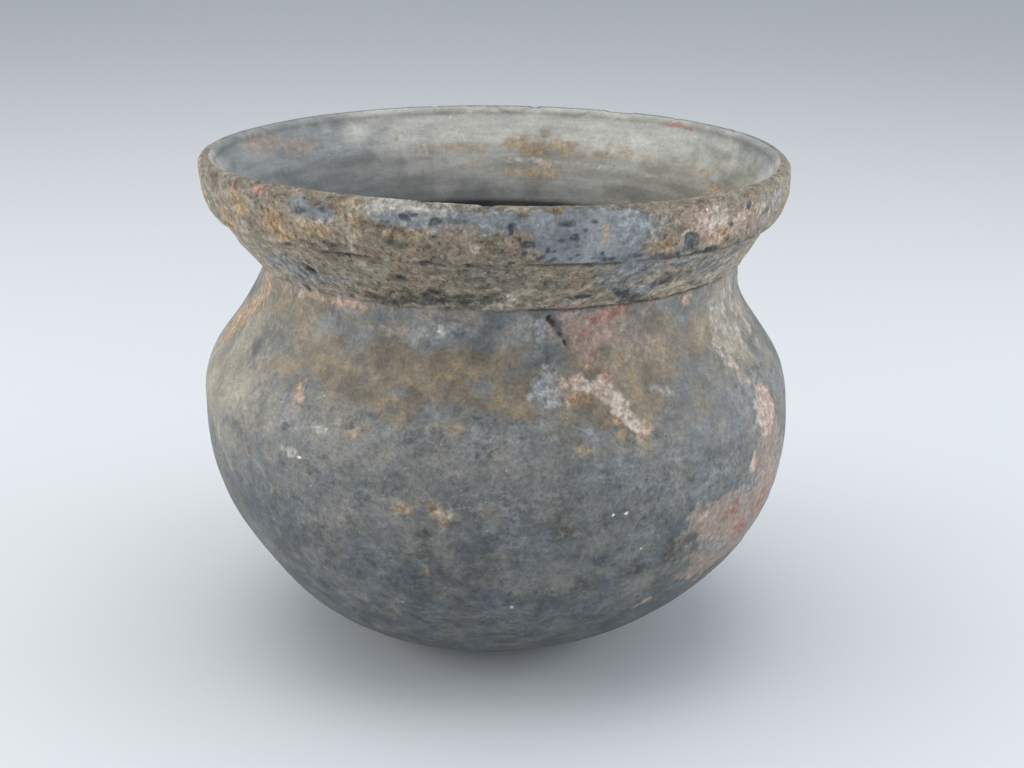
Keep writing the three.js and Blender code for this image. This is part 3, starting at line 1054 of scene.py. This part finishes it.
def grained(paint, colour, coarse, inside):
    """The colour with fine dark and light grains and a few bright grits."""
    amount = paint.times(
        paint.ramp(coarse, 0, 1, 0.8, 1),
        paint.ramp(inside, 0, 1, 1, 0.5),
        paint.ramp(paint.mask("spall"), 0, 1, 1, 0.8),
    )
    fine = paint.ramp(paint.speckle, 0.28, 0.72, -0.21, 0.21)
    grains = paint.math("ADD", paint.ramp(paint.gritty, 0.3, 0.7, -0.2, 0.2), fine)
    colour = paint.dim(colour, paint.math("MULTIPLY_ADD", grains, amount, 1.0))
    scattered = paint.times(paint.specks(size=1.8, seed=31, share=0.03), SPECK_SHARE)
    bright = paint.math("MAXIMUM", scattered, paint.ramp(paint.mask("grit"), 0.5, 0.7))
    return paint.mix(bright, colour, GRIT)


def roughen(paint, coarse):
    """The shader's roughness and relief, both stronger where the skin is coarse."""
    smooth = paint.ramp(paint.blotch, 0.3, 0.7, 0.46, 0.62)
    rough = paint.math("MAXIMUM", smooth, paint.times(coarse, CRUST_ROUGHNESS))
    paint.feed(paint.shader.inputs["Roughness"], rough)
    large = paint.times(paint.gritty, paint.ramp(coarse, 0, 1, 0.08, 0.6))
    bump = paint.math("MULTIPLY_ADD", paint.speckle, paint.ramp(coarse, 0, 1, 0.08, 0.3), large)
    settings = {"Height": bump, "Distance": BUMP_DEPTH * MM, "Strength": 1.0}
    bumped = paint.node("ShaderNodeBump", settings)
    paint.feed(paint.shader.inputs["Normal"], bumped.outputs["Normal"])


def clay_finish(name):
    paint = Paint(name)
    inside = paint.mask("inside")
    crust = paint.edged(paint.mask("crust"), amount=2.5, width=0.45)
    flakes = paint.times(paint.mask("spall"), FLAKE_COARSENESS)
    coarse = paint.math("MAXIMUM", crust, flakes)
    colour = paint.mix(crust, burnished_clay(paint), gritty_crust(paint))
    colour = paint.mix(inside, colour, wiped_inside(paint))
    colour = lay_over(paint, colour, FLAKE_LAYERS, paint.math("ADD", paint.stir, 0.5))
    colour = lay_over(paint, colour, TOP_LAYERS, paint.gritty)
    # Cracks and joint lines, and painted shadow under the ledge on the right
    dark = paint.math("MAXIMUM", paint.mask("crack"), paint.times(paint.mask("seam_and_ledge_shadow"), SEAM_AND_SHADOW_SHARE))
    colour = grained(paint, paint.mix(dark, colour, CRACK_AND_SHADOW), coarse, inside)
    paint.feed(paint.shader.inputs["Base Color"], colour)
    roughen(paint, coarse)
    return paint.material


# The pot

SHOULDER = ring_outline(BOWL_JOINT, CLIMB, NECK, CLIMB, SHOULDER_STEP)
COLLAR = ring_outline(NECK, CLIMB, LEDGE, RIM_CLIMB, COLLAR_STEP)
PIECES = {
    "base_bowl": dict(outline=bowl_outline(), columns=672, closed=False, poles=(0, BOTTOM)),
    "shoulder_ring": dict(outline=SHOULDER, columns=880),
    "neck_collar": dict(outline=COLLAR, columns=1080),
    "rim_band": dict(outline=rim_outline(), columns=1120),
}
SLOTS = {
    "base_bowl": "burnished_clay",
    "shoulder_ring": "burnished_clay",
    "neck_collar": "crusted_clay",
    "rim_band": "crusted_clay",
}

finishes = {slot: clay_finish(slot) for slot in ("burnished_clay", "crusted_clay")}
for node_name, shape in PIECES.items():
    piece = clay_piece(node_name + "_clay", **shape)
    piece.data.materials.append(finishes[SLOTS[node_name]])
    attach(piece, "root")
    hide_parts(node_name)


# The studio, in metres

FLOOR_COLOUR = (0.58, 0.61, 0.64, 1)
FLOOR_HALF = 30
SKY_COLOUR = (0.92, 0.96, 1.0, 1)
SKY_STRENGTH = 0.65

# Square soft lights that face the middle of the pot: place, size, watts and colour
POT_MIDDLE = Vector((0, 0, 0.08))
SOFTBOXES = {
    "key": ((-0.1, 0.0, 1.3), 1.4, 11.5, (1.0, 0.98, 0.95)),
    "left": ((-1.0, -0.2, 0.35), 0.7, 5.8, (1.0, 0.98, 0.95)),
    "right": ((1.0, -0.1, 0.35), 0.7, 5.6, (0.96, 0.98, 1.0)),
    "front": ((0.1, -1.5, 0.4), 1.0, 2.3, (0.98, 0.99, 1.0)),
}

# The photograph's view: from in front and above, and turned a little about its own axis. The
# angles are in radians, and the lens and the sensor in millimetres.
CAMERA_PLACE = (0.004357, -0.48939, 0.23975)
CAMERA_PITCH = 0.31666
CAMERA_ROLL = 0.016
CAMERA_LENS = 56.25
CAMERA_SENSOR = 36


def make_floor():
    mesh = bpy.data.meshes.new("floor")
    half = FLOOR_HALF
    corners = [(-half, -half, 0), (half, -half, 0), (half, half, 0), (-half, half, 0)]
    mesh.from_pydata(corners, [], [(0, 1, 2, 3)])
    floor = linked("floor", mesh)
    matte = bpy.data.materials.new("floor")
    matte.use_nodes = True
    shader = matte.node_tree.nodes["Principled BSDF"]
    shader.inputs["Base Color"].default_value = FLOOR_COLOUR
    shader.inputs["Roughness"].default_value = 0.9
    mesh.materials.append(matte)


def make_world():
    world = bpy.data.worlds.new("studio")
    world.use_nodes = True
    sky = world.node_tree.nodes["Background"]
    sky.inputs["Color"].default_value = SKY_COLOUR
    sky.inputs["Strength"].default_value = SKY_STRENGTH
    bpy.context.scene.world = world


def make_softbox(name, place, size, watts, colour):
    light = bpy.data.lights.new(name, "AREA")
    light.shape = "SQUARE"
    light.size = size
    light.energy = watts
    light.color = colour
    box = linked(name, light)
    box.location = place
    box.rotation_euler = (POT_MIDDLE - Vector(place)).to_track_quat("-Z", "Y").to_euler()


def make_camera():
    camera = bpy.data.cameras.new("camera")
    camera.lens = CAMERA_LENS
    camera.sensor_width = CAMERA_SENSOR
    holder = linked("camera", camera)
    tilt = Matrix.Rotation(math.pi / 2 - CAMERA_PITCH, 4, "X")
    roll = Matrix.Rotation(CAMERA_ROLL, 4, "Z")
    holder.matrix_world = Matrix.Translation(CAMERA_PLACE) @ (tilt @ roll)
    bpy.context.scene.camera = holder


make_floor()
make_world()
for light_name, light_values in SOFTBOXES.items():
    make_softbox(light_name, *light_values)
make_camera()
bpy.context.scene.view_settings.view_transform = "Standard"
